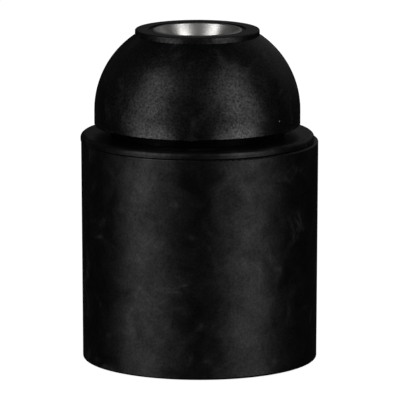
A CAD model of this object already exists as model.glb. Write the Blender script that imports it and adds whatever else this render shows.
"""Looks of an E27 lamp holder: satin black mouldings, a plated entry bush, brass and bronze contacts.

Metres, with +Z up, in the CAD model's own frame. The mouldings and stampings keep their CAD
shapes and get their finishes here. The turned pieces are made again with their screw threads.
"""
import logging
import math
from dataclasses import dataclass, field
from enum import Enum
from typing import Any, ClassVar, Sequence

import bmesh
import bpy
from mathutils import Matrix, Vector


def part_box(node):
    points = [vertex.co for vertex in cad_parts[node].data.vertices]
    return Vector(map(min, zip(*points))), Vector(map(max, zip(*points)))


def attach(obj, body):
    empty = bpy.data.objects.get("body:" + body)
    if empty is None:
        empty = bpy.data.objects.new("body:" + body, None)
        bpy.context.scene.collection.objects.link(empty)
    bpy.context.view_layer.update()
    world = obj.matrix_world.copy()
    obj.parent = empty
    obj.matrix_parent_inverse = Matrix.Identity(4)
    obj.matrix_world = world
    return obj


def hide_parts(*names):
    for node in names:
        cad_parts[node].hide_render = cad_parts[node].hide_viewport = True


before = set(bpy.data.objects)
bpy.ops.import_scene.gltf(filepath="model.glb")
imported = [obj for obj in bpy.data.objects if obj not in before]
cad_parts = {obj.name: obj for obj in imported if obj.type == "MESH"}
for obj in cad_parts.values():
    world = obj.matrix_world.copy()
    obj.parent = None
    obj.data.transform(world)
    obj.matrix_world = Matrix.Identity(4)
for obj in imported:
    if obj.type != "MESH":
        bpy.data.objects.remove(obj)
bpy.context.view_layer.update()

MM = 0.001
# A noise texture spends nearly all its area between these two values.
NOISE_LOW, NOISE_HIGH = 0.3, 0.7
# Points closer than this, in metres, are the same point of a mesh.
MERGE_DISTANCE = 1e-7
# How far off its wall, in metres, a point still counts as lying on it.
WALL_TOLERANCE = 1e-6
# A Wave Texture of scale 1 runs through this many radians in each unit of length.
WAVE_RADIANS = 20
# How far a cutting tool reaches past the piece, in millimetres.
OVERRUN_MM = 1.0
LOG = logging.getLogger("lamp_holder")


class Slot(Enum):
    """Material slots of the record that the turned pieces take."""

    BUSH_METAL = "bush_metal"
    ZINC_STEEL = "zinc_steel"


class HeadStyle(Enum):
    """What stands at the driver's end of a machine screw."""

    CHEESE = "cheese"
    GRUB = "grub"


class Joining(Enum):
    """What a tool body does to the piece that it meets."""

    WELD = "UNION"
    CUT = "DIFFERENCE"


# ---- Node and material helpers ----


def srgb(code: str) -> tuple[float, float, float, float]:
    """Turn an sRGB hex colour into linear RGBA.

    Args:
        code: Colour as "#rrggbb".

    Returns:
        Linear red, green and blue, and an alpha of 1.
    """
    values = [int(code[start:start + 2], 16) / 255 for start in (1, 3, 5)]
    linear = [v / 12.92 if v <= 0.04045 else ((v + 0.055) / 1.055) ** 2.4 for v in values]
    return (linear[0], linear[1], linear[2], 1.0)


def add_node(
    tree: bpy.types.NodeTree, kind: str, inputs: dict[Any, Any] | None = None, **settings: Any
) -> bpy.types.Node:
    """Add a node with its settings, its constants and its links.

    Args:
        tree: Tree that gets the node.
        kind: Blender's name for the type of node.
        inputs: Input name or index, with a constant or the output socket that feeds it.
        **settings: Properties of the node itself.

    Returns:
        The new node.
    """
    node = tree.nodes.new(kind)
    for name, value in settings.items():
        setattr(node, name, value)
    for name, value in (inputs or {}).items():
        if isinstance(value, bpy.types.NodeSocket):
            tree.links.new(value, node.inputs[name])
        else:
            node.inputs[name].default_value = value
    return node


def empty_material(name: str) -> bpy.types.Material:
    """Make a node material with nothing in its tree.

    Args:
        name: Name of the finish.

    Returns:
        The material, with its tree empty.
    """
    material = bpy.data.materials.new(name)
    material.use_nodes = True
    material.node_tree.nodes.clear()
    return material


def direction(azimuth: float, elevation: float) -> Vector:
    """Point away from the holder.

    Args:
        azimuth: Degrees to the right of straight in front.
        elevation: Degrees above the horizon.

    Returns:
        Unit vector.
    """
    turn, lift = math.radians(azimuth), math.radians(elevation)
    return Vector((math.sin(turn) * math.cos(lift), -math.cos(turn) * math.cos(lift), math.sin(lift)))


def repeats_per_metre(spacing_mm: float) -> float:
    """Scale of a noise or cell pattern whose features lie spacing_mm apart."""
    return 1 / (spacing_mm * MM)


def wave_scale(spacing_mm: float) -> float:
    """Scale of a Wave Texture whose bands lie spacing_mm apart."""
    return math.tau / (WAVE_RADIANS * spacing_mm * MM)


# ---- Finishes ----


@dataclass(frozen=True)
class MouldedBlackPolyester:
    """Black PBT, injection moulded in a spark-eroded tool.

    The satin skin spreads a lamp into a soft band. Handling leaves cloudy patches, pale bent
    rub marks and a few specks of dust. The neck stays dull in the gap under the dome, and the
    dome's lip is polished, so it shines a little.
    """

    name: str = "moulded_black_polyester"
    colour: str = "#050505"
    rubbed_colour: str = "#1b1b1c"
    dust_colour: str = "#8a8780"
    roughness: float = 0.37
    roughness_spread: float = 0.04
    specular: float = 0.26
    cloud_mm: float = 4.5
    cloud_edges: tuple[float, float] = (0.32, 0.68)
    cloud_contrast: float = 0.42
    sink_depth_mm: float = 0.05
    sink_strength: float = 0.25
    # The tool's grain is finer than this. It is drawn at a third of a millimetre so that it shows.
    grain_mm: float = 0.36
    grain_contrast: float = 0.34
    grain_depth_mm: float = 0.012
    rub_mm: float = 10.0
    rub_width: float = 0.09
    rub_cover: tuple[float, float] = (0.50, 0.72)
    dust_mm: float = 9.0
    dust_edges: tuple[float, float] = (0.010, 0.022)
    dust_cover: float = 0.7
    # Places on the holder, in the CAD model's frame, and each one's share of the gloss. The dome
    # and the neck stand a little to the left, because the sleeve hangs loose on the neck's ribs.
    axis_x_mm: float = -0.4
    neck_radius_mm: float = 14.9
    neck_gloss: float = 0.12
    gap_mm: float = 39.2
    gap_reach_mm: float = 0.9
    lip_start_mm: float = 39.4
    lip_fade_mm: tuple[float, float] = (40.4, 43.4)
    lip_gloss: float = 2.1
    lip_roughness: float = 0.24

    def build(self) -> bpy.types.Material:
        """Make the material.

        Returns:
            The finished material.
        """
        material = empty_material(self.name)
        tree = material.node_tree
        place = add_node(tree, "ShaderNodeTexCoord").outputs["Object"]
        clouds = add_node(
            tree,
            "ShaderNodeTexNoise",
            {"Vector": place, "Scale": repeats_per_metre(self.cloud_mm), "Detail": 4.0, "Roughness": 0.62,
             "Distortion": 0.7},
        ).outputs["Fac"]
        grain = add_node(
            tree,
            "ShaderNodeTexNoise",
            {"Vector": place, "Scale": repeats_per_metre(self.grain_mm), "Detail": 2.0, "Roughness": 0.65},
        ).outputs["Fac"]
        rubs = self.rub_marks(tree, place, clouds)
        dust = self.dust_specks(tree, place)
        rubbed = add_node(
            tree,
            "ShaderNodeMix",
            {"Factor": rubs, 6: srgb(self.colour), 7: srgb(self.rubbed_colour)},
            data_type="RGBA",
        ).outputs[2]
        dusty = add_node(
            tree, "ShaderNodeMix", {"Factor": dust, 6: rubbed, 7: srgb(self.dust_colour)}, data_type="RGBA"
        ).outputs[2]
        neck, lip = self.handled_places(tree, place)
        specular = self.gloss(tree, clouds, grain, neck, lip)
        cloudy = add_node(
            tree,
            "ShaderNodeMapRange",
            {"Value": clouds, "From Min": NOISE_LOW, "From Max": NOISE_HIGH,
             "To Min": self.roughness - self.roughness_spread,
             "To Max": self.roughness + self.roughness_spread},
        ).outputs[0]
        roughness = add_node(tree, "ShaderNodeMix", {0: lip, 2: cloudy, 3: self.lip_roughness}).outputs[0]
        sinks = add_node(
            tree,
            "ShaderNodeBump",
            {"Height": clouds, "Strength": self.sink_strength, "Distance": self.sink_depth_mm * MM},
        ).outputs["Normal"]
        # A coarser grain is deeper as well, so one contrast sets its gloss and its relief.
        relief = add_node(
            tree,
            "ShaderNodeBump",
            {"Height": grain, "Strength": self.grain_contrast, "Distance": self.grain_depth_mm * MM,
             "Normal": sinks},
        ).outputs["Normal"]
        skin = add_node(
            tree,
            "ShaderNodeBsdfPrincipled",
            {"Base Color": dusty, "Roughness": roughness, "Specular IOR Level": specular, "Normal": relief},
        )
        add_node(tree, "ShaderNodeOutputMaterial", {"Surface": skin.outputs["BSDF"]})
        return material

    def gloss(
        self,
        tree: bpy.types.NodeTree,
        clouds: bpy.types.NodeSocket,
        grain: bpy.types.NodeSocket,
        neck: bpy.types.NodeSocket,
        lip: bpy.types.NodeSocket,
    ) -> bpy.types.NodeSocket:
        """Vary the gloss with clouds and grain, dull the neck and polish the lip.

        Args:
            tree: Tree of the material.
            clouds: Cloudy pattern.
            grain: Fine pattern.
            neck: Socket that is 1 on the neck.
            lip: Socket that is 1 on the lip.

        Returns:
            Socket for the skin's specular level.
        """
        cloudy = add_node(
            tree,
            "ShaderNodeMapRange",
            {"Value": clouds, "From Min": self.cloud_edges[0], "From Max": self.cloud_edges[1],
             "To Min": self.specular * (1 - self.cloud_contrast),
             "To Max": self.specular * (1 + self.cloud_contrast)},
        ).outputs[0]
        grainy = add_node(
            tree,
            "ShaderNodeMapRange",
            {"Value": grain, "From Min": NOISE_LOW, "From Max": NOISE_HIGH,
             "To Min": 1 - self.grain_contrast, "To Max": 1 + self.grain_contrast},
        ).outputs[0]
        even = add_node(tree, "ShaderNodeMath", {0: cloudy, 1: grainy}, operation="MULTIPLY").outputs[0]
        dulled = add_node(tree, "ShaderNodeMix", {0: neck, 2: 1.0, 3: self.neck_gloss}).outputs[0]
        polished = add_node(tree, "ShaderNodeMix", {0: lip, 2: dulled, 3: self.lip_gloss}).outputs[0]
        return add_node(tree, "ShaderNodeMath", {0: even, 1: polished}, operation="MULTIPLY").outputs[0]

    def handled_places(
        self, tree: bpy.types.NodeTree, place: bpy.types.NodeSocket
    ) -> tuple[bpy.types.NodeSocket, bpy.types.NodeSocket]:
        """Mark the dull neck in the gap under the dome, and the dome's polished lip.

        Args:
            tree: Tree of the material.
            place: Object coordinates.

        Returns:
            Sockets that are 1 on the neck and 1 on the lip.
        """
        way = add_node(tree, "ShaderNodeSeparateXYZ", {0: place}).outputs
        across = add_node(
            tree, "ShaderNodeMath", {0: way["X"], 1: self.axis_x_mm * MM}, operation="SUBTRACT"
        ).outputs[0]
        flat = add_node(tree, "ShaderNodeCombineXYZ", {0: across, 1: way["Y"]}).outputs[0]
        radius = add_node(tree, "ShaderNodeVectorMath", {0: flat}, operation="LENGTH").outputs["Value"]
        within = add_node(
            tree, "ShaderNodeMath", {0: radius, 1: self.neck_radius_mm * MM}, operation="LESS_THAN"
        ).outputs[0]
        in_gap = add_node(
            tree,
            "ShaderNodeMath",
            {0: way["Z"], 1: self.gap_mm * MM, 2: self.gap_reach_mm * MM},
            operation="COMPARE",
        ).outputs[0]
        neck = add_node(tree, "ShaderNodeMath", {0: within, 1: in_gap}, operation="MULTIPLY").outputs[0]
        faded = add_node(
            tree,
            "ShaderNodeMapRange",
            {"Value": way["Z"], "From Min": self.lip_fade_mm[0] * MM, "From Max": self.lip_fade_mm[1] * MM,
             "To Min": 1.0, "To Max": 0.0},
            interpolation_type="SMOOTHSTEP",
        ).outputs[0]
        above_gap = add_node(
            tree, "ShaderNodeMath", {0: way["Z"], 1: self.lip_start_mm * MM}, operation="GREATER_THAN"
        ).outputs[0]
        lip = add_node(tree, "ShaderNodeMath", {0: faded, 1: above_gap}, operation="MULTIPLY").outputs[0]
        return neck, lip

    def rub_marks(
        self, tree: bpy.types.NodeTree, place: bpy.types.NodeSocket, clouds: bpy.types.NodeSocket
    ) -> bpy.types.NodeSocket:
        """Draw thin bent lines: contours of a warped noise, kept where the clouds are thick.

        Args:
            tree: Tree of the material.
            place: Object coordinates.
            clouds: Cloudy pattern that picks the places.

        Returns:
            Socket that is 1 on a rub mark and 0 off it.
        """
        bends = add_node(
            tree,
            "ShaderNodeTexNoise",
            {"Vector": place, "Scale": repeats_per_metre(self.rub_mm), "Detail": 1.5, "Distortion": 1.8},
        ).outputs["Fac"]
        offset = add_node(tree, "ShaderNodeMath", {0: bends, 1: 0.5}, operation="SUBTRACT").outputs[0]
        distance = add_node(tree, "ShaderNodeMath", {0: offset}, operation="ABSOLUTE").outputs[0]
        line = add_node(
            tree,
            "ShaderNodeMapRange",
            {"Value": distance, "From Min": 0.0, "From Max": self.rub_width, "To Min": 1.0, "To Max": 0.0},
            interpolation_type="SMOOTHSTEP",
        ).outputs[0]
        kept = add_node(
            tree,
            "ShaderNodeMapRange",
            {"Value": clouds, "From Min": self.rub_cover[0], "From Max": self.rub_cover[1]},
            interpolation_type="SMOOTHSTEP",
        ).outputs[0]
        return add_node(tree, "ShaderNodeMath", {0: line, 1: kept}, operation="MULTIPLY").outputs[0]

    def dust_specks(self, tree: bpy.types.NodeTree, place: bpy.types.NodeSocket) -> bpy.types.NodeSocket:
        """Scatter specks a quarter of a millimetre wide.

        Args:
            tree: Tree of the material.
            place: Object coordinates.

        Returns:
            Socket with the share of dust: dust_cover on a speck and 0 off it.
        """
        distance = add_node(
            tree, "ShaderNodeTexVoronoi", {"Vector": place, "Scale": repeats_per_metre(self.dust_mm)}
        ).outputs["Distance"]
        return add_node(
            tree,
            "ShaderNodeMapRange",
            {"Value": distance, "From Min": self.dust_edges[0], "From Max": self.dust_edges[1],
             "To Min": self.dust_cover, "To Max": 0.0},
        ).outputs[0]


@dataclass(frozen=True)
class MetalFinish:
    """A metal with fine tool or rolling marks and a little tarnish.

    The marks are rings round the piece's own axis where it was turned, and faint streaks where
    it was stamped from rolled sheet.
    """

    name: str
    colour: str
    tarnish: str
    roughness: float
    turned: bool
    # Real marks are about 0.05 mm apart. Each finish draws them as coarse as they need to show.
    mark_mm: float
    axis_mm: tuple[float, float, float] = (0.0, 0.0, 0.0)
    mark_depth_mm: float = 0.004
    mark_strength: float = 0.35
    tarnish_mm: float = 2.5
    tarnish_edges: tuple[float, float] = (0.42, 0.72)
    tarnish_share: float = 0.5
    # Times the roughness, where the metal is clean and where it is stained.
    clean_factor: float = 0.8
    stained_factor: float = 1.3

    def build(self) -> bpy.types.Material:
        """Make the material.

        Returns:
            The finished material.
        """
        material = empty_material(self.name)
        tree = material.node_tree
        place = add_node(tree, "ShaderNodeTexCoord").outputs["Object"]
        centred = add_node(
            tree,
            "ShaderNodeMapping",
            {"Vector": place, "Location": tuple(-value * MM for value in self.axis_mm)},
        ).outputs["Vector"]
        # A lathe's rings run true, and the streaks of rolling wander.
        wander = 0.8 if self.turned else 6.0
        marks = add_node(
            tree,
            "ShaderNodeTexWave",
            {"Vector": centred, "Scale": wave_scale(self.mark_mm), "Distortion": wander, "Detail": 2.0,
             "Detail Scale": 1.5},
            wave_type="RINGS" if self.turned else "BANDS",
            rings_direction="Z",
            bands_direction="Y",
        ).outputs["Fac"]
        stains = add_node(
            tree,
            "ShaderNodeTexNoise",
            {"Vector": place, "Scale": repeats_per_metre(self.tarnish_mm), "Detail": 5.0, "Roughness": 0.6},
        ).outputs["Fac"]
        share = add_node(
            tree,
            "ShaderNodeMapRange",
            {"Value": stains, "From Min": self.tarnish_edges[0], "From Max": self.tarnish_edges[1],
             "To Max": self.tarnish_share},
        ).outputs[0]
        colour = add_node(
            tree,
            "ShaderNodeMix",
            {"Factor": share, 6: srgb(self.colour), 7: srgb(self.tarnish)},
            data_type="RGBA",
        ).outputs[2]
        roughness = add_node(
            tree,
            "ShaderNodeMapRange",
            {"Value": stains, "From Min": NOISE_LOW, "From Max": NOISE_HIGH,
             "To Min": self.roughness * self.clean_factor,
             "To Max": self.roughness * self.stained_factor},
        ).outputs[0]
        relief = add_node(
            tree,
            "ShaderNodeBump",
            {"Height": marks, "Strength": self.mark_strength, "Distance": self.mark_depth_mm * MM},
        ).outputs["Normal"]
        surface = add_node(
            tree,
            "ShaderNodeBsdfPrincipled",
            {"Base Color": colour, "Metallic": 1.0, "Roughness": roughness, "Normal": relief},
        )
        add_node(tree, "ShaderNodeOutputMaterial", {"Surface": surface.outputs["BSDF"]})
        return material


@dataclass(frozen=True)
class FiredSteatite:
    """Dry-pressed and fired steatite, unglazed: warm white and matt, with fine iron specks."""

    colour: str = "#e2dccb"
    shade: str = "#cfc6b1"
    speck_colour: str = "#6b5a44"
    roughness: float = 0.62
    cloud_mm: float = 3.0
    speck_mm: float = 0.9
    speck_edges: tuple[float, float] = (0.03, 0.09)
    speck_cover: float = 0.6
    # The grit is finer than this. It is drawn at an eighth of a millimetre so that it shows.
    grit_mm: float = 0.12
    grit_depth_mm: float = 0.02
    grit_strength: float = 0.5

    def build(self) -> bpy.types.Material:
        """Make the material.

        Returns:
            The finished material.
        """
        material = empty_material("fired_steatite")
        tree = material.node_tree
        place = add_node(tree, "ShaderNodeTexCoord").outputs["Object"]
        clouds = add_node(
            tree,
            "ShaderNodeTexNoise",
            {"Vector": place, "Scale": repeats_per_metre(self.cloud_mm), "Detail": 3.0},
        ).outputs["Fac"]
        body = add_node(
            tree,
            "ShaderNodeMix",
            {"Factor": clouds, 6: srgb(self.colour), 7: srgb(self.shade)},
            data_type="RGBA",
        ).outputs[2]
        distance = add_node(
            tree, "ShaderNodeTexVoronoi", {"Vector": place, "Scale": repeats_per_metre(self.speck_mm)}
        ).outputs["Distance"]
        specks = add_node(
            tree,
            "ShaderNodeMapRange",
            {"Value": distance, "From Min": self.speck_edges[0], "From Max": self.speck_edges[1],
             "To Min": self.speck_cover, "To Max": 0.0},
        ).outputs[0]
        colour = add_node(
            tree, "ShaderNodeMix", {"Factor": specks, 6: body, 7: srgb(self.speck_colour)}, data_type="RGBA"
        ).outputs[2]
        grit = add_node(
            tree,
            "ShaderNodeTexNoise",
            {"Vector": place, "Scale": repeats_per_metre(self.grit_mm), "Detail": 2.0},
        ).outputs["Fac"]
        relief = add_node(
            tree,
            "ShaderNodeBump",
            {"Height": grit, "Strength": self.grit_strength, "Distance": self.grit_depth_mm * MM},
        ).outputs["Normal"]
        surface = add_node(
            tree,
            "ShaderNodeBsdfPrincipled",
            {"Base Color": colour, "Roughness": self.roughness, "Normal": relief},
        )
        add_node(tree, "ShaderNodeOutputMaterial", {"Surface": surface.outputs["BSDF"]})
        return material


# ---- Turned and threaded pieces ----


def rounded(corners: Sequence[tuple[float, float, float]], steps: int = 5) -> list[tuple[float, float]]:
    """Outline in radius and height with its corners rounded.

    Args:
        corners: Radius, height and rounding of each corner, in millimetres, in order.
        steps: Straight pieces in each rounding.

    Returns:
        Points in millimetres. The first and last corners stay sharp.
    """
    points: list[tuple[float, float]] = []
    for index, (radius, height, rounding) in enumerate(corners):
        if rounding == 0 or index in (0, len(corners) - 1):
            points.append((radius, height))
            continue
        corner = Vector((radius, height))
        back = (Vector(corners[index - 1][:2]) - corner).normalized()
        ahead = (Vector(corners[index + 1][:2]) - corner).normalized()
        half = back.angle(ahead) / 2
        centre = corner + (back + ahead).normalized() * (rounding / math.sin(half))
        start = corner + back * (rounding / math.tan(half)) - centre
        end = corner + ahead * (rounding / math.tan(half)) - centre
        sweep = start.angle_signed(end)
        for step in range(steps + 1):
            arm = start.copy()
            arm.rotate(Matrix.Rotation(-sweep * step / steps, 2))
            points.append(tuple(centre + arm))
    return points


def turned_mesh(
    name: str, points: Sequence[tuple[float, float]], closed: bool, segments: int
) -> bpy.types.Mesh:
    """Turn an outline about Z.

    Args:
        name: Name of the mesh.
        points: Radius and height of each point, in millimetres.
        closed: True if the outline returns to its first point, False if it ends on the axis.
        segments: Facets round the axis.

    Returns:
        A closed mesh in metres.
    """
    work = bmesh.new()
    loop = [work.verts.new((radius * MM, 0, height * MM)) for radius, height in points]
    ends = loop[1:] + loop[:1] if closed else loop[1:]
    edges = [work.edges.new(pair) for pair in zip(loop, ends)]
    bmesh.ops.spin(
        work,
        geom=loop + edges,
        cent=(0, 0, 0),
        axis=(0, 0, 1),
        angle=math.tau,
        steps=segments,
        use_merge=True,
    )
    bmesh.ops.remove_doubles(work, verts=work.verts, dist=MERGE_DISTANCE)
    bmesh.ops.recalc_face_normals(work, faces=work.faces)
    mesh = bpy.data.meshes.new(name)
    work.to_mesh(mesh)
    work.free()
    return mesh


def add_object(name: str, mesh: bpy.types.Mesh) -> bpy.types.Object:
    """Put a mesh in the scene as an object at the origin.

    Args:
        name: Name of the object.
        mesh: Its shape, in place.

    Returns:
        The new object.
    """
    item = bpy.data.objects.new(name, mesh)
    bpy.context.scene.collection.objects.link(item)
    return item


def applied(item: bpy.types.Object) -> bpy.types.Object:
    """Replace an object's mesh by what its modifiers make of it, and remove them.

    Args:
        item: Object with its modifiers set up.

    Returns:
        The same object, with a plain mesh.
    """
    bpy.context.view_layer.update()
    evaluated = item.evaluated_get(bpy.context.evaluated_depsgraph_get())
    mesh = bpy.data.meshes.new_from_object(evaluated)
    item.modifiers.clear()
    item.data = mesh
    return item


def combine(item: bpy.types.Object, tool: bpy.types.Object, joining: Joining) -> None:
    """Weld a tool body to an object, or cut it from the object, and delete the tool.

    Args:
        item: Object that changes.
        tool: Closed body that meets it.
        joining: What the tool body does.
    """
    modifier = item.modifiers.new(joining.name.lower(), "BOOLEAN")
    modifier.operation = joining.value
    modifier.solver = "EXACT"
    modifier.object = tool
    applied(item)
    bpy.data.objects.remove(tool)


def block_object(name: str, low: Vector, high: Vector) -> bpy.types.Object:
    """Box between two corners, as a tool body for welds and cuts.

    Args:
        name: Name of the object.
        low: Its lowest corner, in metres.
        high: Its highest corner, in metres.

    Returns:
        The new object.
    """
    work = bmesh.new()
    bmesh.ops.create_cube(work, size=1.0)
    bmesh.ops.scale(work, vec=high - low, verts=work.verts)
    bmesh.ops.translate(work, vec=(low + high) / 2, verts=work.verts)
    mesh = bpy.data.meshes.new(name)
    work.to_mesh(mesh)
    work.free()
    return add_object(name, mesh)


def finish_shading(item: bpy.types.Object, angle: float = 32.0) -> None:
    """Shade a mesh smooth, with its edges sharper than angle degrees kept crisp."""
    item.data.polygons.foreach_set("use_smooth", [True] * len(item.data.polygons))
    item.data.set_sharp_from_angle(angle=math.radians(angle))


@dataclass(frozen=True)
class ThreadCutter:
    """Cuts a screw thread into a turned wall with Geometry Nodes.

    Points of the wall move along their own radius by a groove that follows a helix about Z. The
    groove fades at both ends of the wall, as a thread runs out.
    """

    wall_radius_mm: float
    groove_mm: float
    pitch_mm: float
    start_mm: float
    end_mm: float
    run_out_mm: float

    INPUTS: ClassVar[tuple[str, ...]] = ("Wall Radius", "Groove", "Pitch", "Start", "End", "Run-out")
    # A screw's metric thread is flat over 1/8 of its pitch on the crest and 1/4 in the root, half
    # of it on either side, with the flanks between. The bush's inner thread is drawn alike.
    CREST_SHARE: ClassVar[float] = 1 / 16
    ROOT_SHARE: ClassVar[float] = 3 / 8

    @classmethod
    def tree(cls) -> bpy.types.GeometryNodeTree:
        """Give the tree that all the threads share, made on first use.

        Returns:
            Tree with a named input for each size and for the finish.
        """
        known = bpy.data.node_groups.get("screw_thread")
        if known:
            return known
        tree = bpy.data.node_groups.new("screw_thread", "GeometryNodeTree")
        interface = tree.interface
        interface.new_socket("Geometry", in_out="INPUT", socket_type="NodeSocketGeometry")
        for name in cls.INPUTS:
            interface.new_socket(name, in_out="INPUT", socket_type="NodeSocketFloat")
        interface.new_socket("Material", in_out="INPUT", socket_type="NodeSocketMaterial")
        interface.new_socket("Geometry", in_out="OUTPUT", socket_type="NodeSocketGeometry")
        given = add_node(tree, "NodeGroupInput").outputs

        place = add_node(tree, "GeometryNodeInputPosition").outputs[0]
        x, y, z = add_node(tree, "ShaderNodeSeparateXYZ", {0: place}).outputs[:3]
        arm = add_node(tree, "ShaderNodeCombineXYZ", {0: x, 1: y}).outputs[0]
        outwards = add_node(tree, "ShaderNodeVectorMath", {0: arm}, operation="NORMALIZE").outputs["Vector"]
        radius = add_node(tree, "ShaderNodeVectorMath", {0: arm}, operation="LENGTH").outputs["Value"]
        on_wall = add_node(
            tree,
            "ShaderNodeMath",
            {0: radius, 1: given["Wall Radius"], 2: WALL_TOLERANCE},
            operation="COMPARE",
        ).outputs[0]

        # The wave is 0 on the crest and 0.5 in the root, and moves up one pitch in each turn.
        angle = add_node(tree, "ShaderNodeMath", {0: y, 1: x}, operation="ARCTAN2").outputs[0]
        turned = add_node(tree, "ShaderNodeMath", {0: angle, 1: math.tau}, operation="DIVIDE").outputs[0]
        climbed = add_node(tree, "ShaderNodeMath", {0: z, 1: given["Pitch"]}, operation="DIVIDE").outputs[0]
        phase = add_node(tree, "ShaderNodeMath", {0: climbed, 1: turned}, operation="SUBTRACT").outputs[0]
        wave = add_node(tree, "ShaderNodeMath", {0: phase, 1: 0.5}, operation="PINGPONG").outputs[0]

        from_start = add_node(
            tree, "ShaderNodeMath", {0: z, 1: given["Start"]}, operation="SUBTRACT"
        ).outputs[0]
        to_end = add_node(tree, "ShaderNodeMath", {0: given["End"], 1: z}, operation="SUBTRACT").outputs[0]
        margin = add_node(tree, "ShaderNodeMath", {0: from_start, 1: to_end}, operation="MINIMUM").outputs[0]
        full_depth = add_node(
            tree,
            "ShaderNodeMapRange",
            {"Value": margin, "From Min": 0.0, "From Max": given["Run-out"], "To Max": given["Groove"]},
        ).outputs[0]
        depth = add_node(
            tree,
            "ShaderNodeMapRange",
            {"Value": wave, "From Min": cls.CREST_SHARE, "From Max": cls.ROOT_SHARE, "To Max": full_depth},
        ).outputs[0]
        move = add_node(tree, "ShaderNodeMath", {0: depth, 1: on_wall}, operation="MULTIPLY").outputs[0]
        shift = add_node(
            tree, "ShaderNodeVectorMath", {0: outwards, "Scale": move}, operation="SCALE"
        ).outputs["Vector"]
        moved = add_node(
            tree, "GeometryNodeSetPosition", {"Geometry": given["Geometry"], "Offset": shift}
        ).outputs[0]
        real = add_node(tree, "GeometryNodeRealizeInstances", {"Geometry": moved}).outputs[0]
        coated = add_node(
            tree, "GeometryNodeSetMaterial", {"Geometry": real, "Material": given["Material"]}
        ).outputs[0]
        add_node(tree, "NodeGroupOutput", {"Geometry": coated})
        return tree

    def rows(self, per_pitch: int = 10) -> list[float]:
        """Heights in millimetres at which the wall needs a ring of points, ends included."""
        count = max(2, round((self.end_mm - self.start_mm) / self.pitch_mm * per_pitch))
        return [self.start_mm + (self.end_mm - self.start_mm) * step / count for step in range(count + 1)]

    def cut(self, item: bpy.types.Object, material: bpy.types.Material) -> bpy.types.Object:
        """Thread an object that is centred on Z.

        Args:
            item: Object whose wall has a ring of points at each of rows().
            material: Finish of the result.

        Returns:
            The same object with a plain, threaded mesh.
        """
        tree = self.tree()
        modifier = item.modifiers.new("thread", "NODES")
        modifier.node_group = tree
        ends = (self.start_mm, self.end_mm, self.run_out_mm)
        sizes = (self.wall_radius_mm, self.groove_mm, self.pitch_mm, *ends)
        values = {name: size * MM for name, size in zip(self.INPUTS, sizes)}
        for socket in tree.interface.items_tree:
            if socket.in_out == "INPUT" and socket.name in values:
                modifier[socket.identifier] = values[socket.name]
            elif socket.in_out == "INPUT" and socket.name == "Material":
                modifier[socket.identifier] = material
        return applied(item)


@dataclass
class EntryBush:
    """Turned bush in the dome's collar, with its M10 x 1 thread under a smooth funnel."""

    finish: MetalFinish
    head_radius: float = 7.55
    head_height: float = 2.1
    lip: float = 0.6
    lip_round: float = 0.2
    funnel_depth: float = 2.7
    funnel_floor: float = 5.5
    funnel_round: float = 0.3
    bore_radius: float = 4.459
    thread_depth: float = 0.541
    pitch: float = 1.0
    body_radius: float = 6.2
    pad_width: float = 6.0
    pad_height: float = 3.6
    tapped_radius: float = 1.5
    segments: int = 144
    tapped_segments: int = 48

    def build(self) -> bpy.types.Object:
        """Make the bush, ride it on the dome and let it replace its CAD node.

        Returns:
            The finished piece.
        """
        low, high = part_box("entry_bush")
        centre = (low + high) / 2
        bottom, top = low.z / MM, high.z / MM
        reach = (high.y - low.y) / 2
        floor = top - self.funnel_depth
        thread_end = floor - (self.funnel_floor - self.bore_radius)
        material = self.finish.build()
        thread = ThreadCutter(
            self.bore_radius, self.thread_depth, self.pitch, bottom, thread_end, self.pitch / 2
        )
        outline = rounded([
            (self.body_radius, bottom, 0),
            (self.body_radius, top - self.head_height, 0),
            (self.head_radius, top - self.head_height, 0),
            (self.head_radius, top, self.lip_round),
            (self.head_radius - self.lip, top, self.lip_round),
            (self.funnel_floor, floor, self.funnel_round),
            (self.bore_radius, thread_end, 0),
        ])
        wall = [(self.bore_radius, height) for height in reversed(thread.rows()[:-1])]
        body = turned_mesh("bush_with_thread", outline + wall, True, self.segments)
        bush = thread.cut(add_object("bush_with_thread", body), material)
        inner = (self.body_radius + self.bore_radius) / 2 * MM
        half = self.pad_width / 2 * MM
        for side in (-1, 1):
            ends = sorted((side * inner, side * reach))
            pad = block_object(
                "pad",
                Vector((-half, ends[0], low.z)),
                Vector((half, ends[1], low.z + self.pad_height * MM)),
            )
            combine(bush, pad, Joining.WELD)
        combine(bush, self.drill(low.z + self.pad_height / 2 * MM, reach), Joining.CUT)
        bush.data.transform(Matrix.Translation((centre.x, centre.y, 0)))
        finish_shading(bush)
        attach(bush, "dome")
        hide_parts("entry_bush")
        LOG.info("entry_bush: %d faces", len(bush.data.polygons))
        return bush

    def drill(self, height: float, reach: float) -> bpy.types.Object:
        """Make the tool body for the tapped holes through both pads.

        Args:
            height: Height of the holes' axis, in metres.
            reach: Distance from the middle to a pad's face, in metres.

        Returns:
            Cylinder along Y that reaches past both pads.
        """
        end = reach / MM + OVERRUN_MM
        outline = [(0, -end), (self.tapped_radius, -end), (self.tapped_radius, end), (0, end)]
        mesh = turned_mesh("drill", outline, False, self.tapped_segments)
        mesh.transform(Matrix.Translation((0, 0, height)) @ Matrix.Rotation(math.pi / 2, 4, "X"))
        return add_object("drill", mesh)


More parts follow.
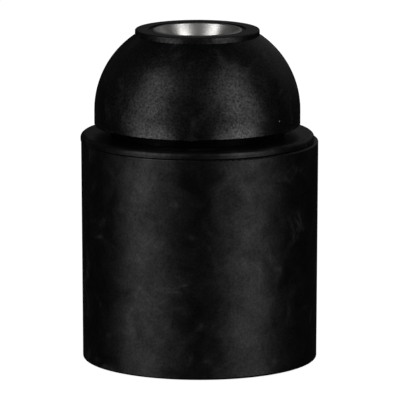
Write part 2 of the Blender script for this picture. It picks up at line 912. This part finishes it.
@dataclass
class MachineScrew:
    """Slotted M3 screw with a rolled thread, made on Z with its head up and then put in place."""

    node: str
    along: Vector
    head: HeadStyle
    finish: MetalFinish
    radius: float = 1.45
    thread_depth: float = 0.27
    pitch: float = 0.5
    head_radius: float = 2.3
    head_height: float = 1.8
    head_round: float = 0.45
    slot_width: float = 0.6
    slot_depth: float = 0.9
    # Share of the shank's radius that the tip's bevel takes: a grub screw has a cone point.
    grub_bevel: float = 1 / 2
    cheese_bevel: float = 1 / 3
    segments: int = 48

    def build(self) -> bpy.types.Object:
        """Make the screw, ride it on its own body and let it replace its CAD node.

        Returns:
            The finished piece.
        """
        low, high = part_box(self.node)
        centre = (low + high) / 2
        length = abs((high - low).dot(self.along)) / MM
        cheese = self.head is HeadStyle.CHEESE
        shank = length - self.head_height if cheese else length
        tip = self.radius * (self.cheese_bevel if cheese else self.grub_bevel)
        material = self.finish.build()
        thread = ThreadCutter(self.radius, -self.thread_depth, self.pitch, tip, shank, self.pitch)
        outline = [(0, 0), (self.radius - tip, 0)] + [(self.radius, height) for height in thread.rows()]
        if cheese:
            outline += rounded([
                (self.head_radius, shank, 0),
                (self.head_radius, length, self.head_round),
                (0, length, 0),
            ])
        else:
            outline.append((0, length))
        body = turned_mesh(self.node, outline, False, self.segments)
        screw = thread.cut(add_object(f"{self.node}_threaded", body), material)
        self.cut_slot(screw, length)
        turn = Vector((0, 0, 1)).rotation_difference(self.along).to_matrix().to_4x4()
        start = centre - self.along * (length / 2 * MM)
        screw.data.transform(Matrix.Translation(start) @ turn)
        finish_shading(screw)
        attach(screw, self.node)
        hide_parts(self.node)
        LOG.info("%s: %d faces", self.node, len(screw.data.polygons))
        return screw

    def cut_slot(self, screw: bpy.types.Object, length: float) -> None:
        """Cut the driver slot across the outer end, along X.

        Args:
            screw: Screw that stands on Z with its outer end up.
            length: Height of that end, in millimetres.
        """
        reach = (self.head_radius + OVERRUN_MM) * MM
        half = self.slot_width / 2 * MM
        low = Vector((-reach, -half, (length - self.slot_depth) * MM))
        high = Vector((reach, half, (length + OVERRUN_MM) * MM))
        combine(screw, block_object("slot", low, high), Joining.CUT)


# ---- Sub-assemblies ----


def dress(finish: bpy.types.Material, nodes: Sequence[str]) -> None:
    """Give CAD nodes a finish in place of their plain colour.

    Args:
        finish: Material that covers each node.
        nodes: Names of the nodes.
    """
    for name in nodes:
        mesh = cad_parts[name].data
        mesh.materials.clear()
        mesh.materials.append(finish)
        LOG.info("%s: %s", name, finish.name)


@dataclass
class Housing:
    """Skirt sleeve, socket body and dome: the three black mouldings."""

    skirt_skin: MouldedBlackPolyester = MouldedBlackPolyester()
    # The dome's half of the tool is eroded more coarsely, so its highlights sparkle.
    dome_skin: MouldedBlackPolyester = MouldedBlackPolyester(
        "moulded_black_polyester_coarse", specular=0.28, cloud_contrast=0.32, grain_contrast=0.66
    )

    def build(self) -> None:
        """Dress the mouldings, which keep their CAD shapes."""
        dress(self.skirt_skin.build(), ["skirt_sleeve", "socket_body"])
        dress(self.dome_skin.build(), ["dome_cap"])


@dataclass
class ContactGear:
    """Contact block with its terminals, rivets, clamp plates and springs."""

    block: FiredSteatite = FiredSteatite()
    # Brass strip, stamped and drawn: warm yellow, with faint streaks from rolling.
    brass: MetalFinish = MetalFinish(
        "stamped_brass", "#cfa95c", "#8a6a34", roughness=0.30, turned=False, mark_mm=0.25
    )
    # Phosphor bronze, rolled hard for springs: redder than the brass, and a little duller.
    bronze: MetalFinish = MetalFinish(
        "rolled_phosphor_bronze", "#c08a5a", "#7d5538", roughness=0.34, turned=False, mark_mm=0.20
    )
    # Steel sheet, punched and then zinc plated: pale, cool and slightly cloudy.
    zinc: MetalFinish = MetalFinish(
        "zinc_plated_sheet_steel", "#b9bcbf", "#8d9196", roughness=0.36, turned=False, mark_mm=0.30
    )

    def build(self) -> None:
        """Dress the block and the stampings, which keep their CAD shapes."""
        dress(self.block.build(), ["contact_block"])
        dress(self.brass.build(), ["live_terminal", "neutral_terminal", "live_eyelet", "neutral_eyelet"])
        dress(self.bronze.build(), ["centre_contact", "side_contact"])
        dress(self.zinc.build(), ["live_clamp_plate", "neutral_clamp_plate", "earth_washer"])


@dataclass
class TurnedParts:
    """Entry bush and the four screws."""

    # Turned steel, bright zinc plated: the lathe's rings spread the highlights in the funnel.
    bush_metal: MetalFinish = MetalFinish(
        "zinc_plated_turned_bush",
        "#e6e5e3",
        "#bab8b3",
        roughness=0.31,
        turned=True,
        mark_mm=0.22,
        axis_mm=(-0.4, 0.0, 0.0),
    )
    # Steel wire, headed and rolled, then zinc plated: bright on the head, grey in the thread.
    screw_metal: MetalFinish = MetalFinish(
        "zinc_plated_screw", "#bfc2c4", "#8f9498", roughness=0.30, turned=False, mark_mm=0.20
    )
    earth_head_height: float = 1.6

    def build(self) -> None:
        """Make each turned piece."""
        pieces = [EntryBush(self.bush_metal).build()]
        up = Vector((0, 0, 1))
        back = Vector((0, 1, 0))
        metal = self.screw_metal
        screws = (
            MachineScrew("live_screw", up, HeadStyle.CHEESE, metal),
            MachineScrew("neutral_screw", up, HeadStyle.CHEESE, metal),
            MachineScrew("earth_screw", back, HeadStyle.CHEESE, metal, head_height=self.earth_head_height),
            MachineScrew("lock_screw", -back, HeadStyle.GRUB, metal),
        )
        pieces += [screw.build() for screw in screws]
        LOG.info("turned pieces: %d", len(pieces))


# ---- Studio ----


@dataclass(frozen=True)
class SoftLight:
    """Rectangular soft box that faces the holder."""

    name: str
    azimuth: float
    elevation: float
    width: float
    height: float
    level: float

    def build(self, target: Vector, distance: float) -> None:
        """Hang the soft box.

        Args:
            target: Point that it faces.
            distance: How far away it hangs, in metres.
        """
        data = bpy.data.lights.new(self.name, "AREA")
        data.shape = "RECTANGLE"
        data.size, data.size_y = self.width, self.height
        data.energy = self.level * math.pi * self.width * self.height
        lamp = bpy.data.objects.new(self.name, data)
        bpy.context.scene.collection.objects.link(lamp)
        way = direction(self.azimuth, self.elevation)
        lamp.location = target + way * distance
        lamp.rotation_euler = (-way).to_track_quat("-Z", "Y").to_euler()
        lamp.visible_camera = False


@dataclass(frozen=True)
class TentPatch:
    """Soft round patch of light on the tent, given by its direction and size in degrees."""

    azimuth: float
    elevation: float
    inner: float
    outer: float
    level: float

    def glow(self, tree: bpy.types.NodeTree, way: bpy.types.NodeSocket) -> bpy.types.NodeSocket:
        """Draw the patch.

        Args:
            tree: Tree of the tent's material.
            way: Unit vector from the middle of the tent.

        Returns:
            Socket for the brightness that the patch adds.
        """
        aim = direction(self.azimuth, self.elevation)
        cosine = add_node(
            tree, "ShaderNodeVectorMath", {0: way, 1: aim}, operation="DOT_PRODUCT"
        ).outputs["Value"]
        angle = add_node(tree, "ShaderNodeMath", {0: cosine}, operation="ARCCOSINE").outputs[0]
        return add_node(
            tree,
            "ShaderNodeMapRange",
            {"Value": angle, "From Min": math.radians(self.inner), "From Max": math.radians(self.outer),
             "To Min": self.level, "To Max": 0.0},
            interpolation_type="SMOOTHSTEP",
        ).outputs[0]


@dataclass(frozen=True)
class DarkTent:
    """Dark cloth all round the holder, with soft patches of light, that only reflections see."""

    radius: float = 2.5
    facets: int = 48
    level: float = 0.010
    # Azimuth, elevation, full and faded reach in degrees, and level of each patch.
    patches: tuple[TentPatch, ...] = (
        TentPatch(0, 46, 6, 36, 0.075),
        TentPatch(138, 30, 8, 36, 0.14),
        TentPatch(170, 12, 4, 20, 0.12),
        TentPatch(-138, 30, 8, 36, 0.03),
        TentPatch(-54, -14, 4, 35, 1.45),
        TentPatch(48, -14, 4, 35, 1.45),
    )

    def build(self) -> None:
        """Hang the tent."""
        work = bmesh.new()
        bmesh.ops.create_uvsphere(
            work, u_segments=self.facets, v_segments=self.facets // 2, radius=self.radius
        )
        mesh = bpy.data.meshes.new("tent")
        work.to_mesh(mesh)
        work.free()
        material = empty_material("tent_cloth")
        tree = material.node_tree
        place = add_node(tree, "ShaderNodeTexCoord").outputs["Object"]
        way = add_node(tree, "ShaderNodeVectorMath", {0: place}, operation="NORMALIZE").outputs["Vector"]
        level: float | bpy.types.NodeSocket = self.level
        for patch in self.patches:
            added = patch.glow(tree, way)
            level = add_node(tree, "ShaderNodeMath", {0: added, 1: level}, operation="ADD").outputs[0]
        cloth = add_node(tree, "ShaderNodeEmission", {"Strength": level}).outputs[0]
        add_node(tree, "ShaderNodeOutputMaterial", {"Surface": cloth})
        mesh.materials.append(material)
        tent = add_object("tent", mesh)
        tent.visible_camera = False
        tent.visible_diffuse = False
        tent.visible_transmission = False
        tent.visible_shadow = False


@dataclass
class Studio:
    """White floor and background, two soft boxes, and a dark tent for the reflections.

    The floor lies a hair under the rim, so that the two never share a plane.
    """

    target: Vector = field(default_factory=lambda: Vector((0, 0, 0.03)))
    distance: float = 1.3
    fill: float = 0.38
    floor_white: float = 0.95
    floor_shade: str = "#707070"
    paper: str = "#f2f2f2"
    floor_size: float = 8.0
    floor_drop: float = 0.0002
    # Azimuth and elevation in degrees, width and height in metres, and level of each lamp.
    lights: tuple[SoftLight, ...] = (
        SoftLight("left_strip", -54, 25, 0.70, 1.20, 2.6),
        SoftLight("right_strip", 48, 25, 0.70, 1.20, 2.6),
    )

    def build(self) -> None:
        """Make the floor, the world, the tent and the lamps."""
        self.floor()
        self.world()
        DarkTent().build()
        for light in self.lights:
            light.build(self.target, self.distance)
        LOG.info("studio: %d soft boxes", len(self.lights))

    def background_share(self, tree: bpy.types.NodeTree) -> bpy.types.NodeSocket:
        """Tell the rays that show the background as plain white.

        Args:
            tree: Tree of the floor's material or of the world.

        Returns:
            Socket that is 1 for those rays and 0 for the ones that light the holder.
        """
        rays = add_node(tree, "ShaderNodeLightPath").outputs
        seen = add_node(
            tree, "ShaderNodeMath", {0: rays["Is Camera Ray"], 1: rays["Is Glossy Ray"]}, operation="MAXIMUM"
        ).outputs[0]
        return add_node(
            tree, "ShaderNodeMath", {0: seen, 1: rays["Is Transmission Ray"]}, operation="MAXIMUM"
        ).outputs[0]

    def floor(self) -> None:
        """White floor that keeps a faint shadow under the rim, and is clear from below."""
        half = self.floor_size / 2
        mesh = bpy.data.meshes.new("floor")
        corners = [(x * half, y * half, -self.floor_drop) for x, y in ((-1, -1), (1, -1), (1, 1), (-1, 1))]
        mesh.from_pydata(corners, [], [(0, 1, 2, 3)])
        material = empty_material("white_floor")
        tree = material.node_tree
        paper = add_node(tree, "ShaderNodeBsdfDiffuse", {"Color": srgb(self.paper)}).outputs[0]
        # What the camera sees is nearly white by itself, and the grey part takes the shadow.
        glow = add_node(tree, "ShaderNodeEmission", {"Strength": self.floor_white}).outputs[0]
        shaded = add_node(tree, "ShaderNodeBsdfDiffuse", {"Color": srgb(self.floor_shade)}).outputs[0]
        lit = add_node(tree, "ShaderNodeAddShader", {0: glow, 1: shaded}).outputs[0]
        surface = add_node(
            tree, "ShaderNodeMixShader", {0: self.background_share(tree), 1: paper, 2: lit}
        ).outputs[0]
        underside = add_node(tree, "ShaderNodeNewGeometry").outputs["Backfacing"]
        clear = add_node(tree, "ShaderNodeBsdfTransparent").outputs[0]
        one_sided = add_node(tree, "ShaderNodeMixShader", {0: underside, 1: surface, 2: clear}).outputs[0]
        add_node(tree, "ShaderNodeOutputMaterial", {"Surface": one_sided})
        mesh.materials.append(material)
        floor = add_object("floor", mesh)
        floor.visible_glossy = False

    def world(self) -> None:
        """Plain white world for the background, at the fill level for everything that it lights."""
        world = bpy.data.worlds.new("white_room")
        bpy.context.scene.world = world
        world.use_nodes = True
        tree = world.node_tree
        tree.nodes.clear()
        white = srgb("#ffffff")
        fill = add_node(tree, "ShaderNodeBackground", {"Color": white, "Strength": self.fill}).outputs[0]
        plain = add_node(tree, "ShaderNodeBackground", {"Color": white, "Strength": 1.0}).outputs[0]
        surface = add_node(
            tree, "ShaderNodeMixShader", {0: self.background_share(tree), 1: fill, 2: plain}
        ).outputs[0]
        add_node(tree, "ShaderNodeOutputWorld", {"Surface": surface})


@dataclass(frozen=True)
class Camera:
    """Long lens a little above the holder, level from side to side and tipped down by its pitch."""

    place: tuple[float, float, float] = (0.00005, -0.8796, 0.18979)
    pitch: float = 0.1832
    lens: float = 476.7
    sensor_width: float = 36
    clip_end: float = 20

    def build(self) -> None:
        """Set the scene's camera."""
        data = bpy.data.cameras.new("camera")
        data.lens = self.lens
        data.sensor_width = self.sensor_width
        data.clip_end = self.clip_end
        camera = bpy.data.objects.new("camera", data)
        bpy.context.scene.collection.objects.link(camera)
        camera.location = self.place
        camera.rotation_euler = (math.pi / 2 - self.pitch, 0, 0)
        bpy.context.scene.camera = camera


def main() -> None:
    """Dress the mouldings and contacts, make the turned pieces, and light the scene."""
    logging.basicConfig(level=logging.INFO, format="%(message)s")
    Housing().build()
    ContactGear().build()
    TurnedParts().build()
    Studio().build()
    Camera().build()
    bpy.context.scene.view_settings.view_transform = "Standard"


if __name__ == "__main__":
    main()
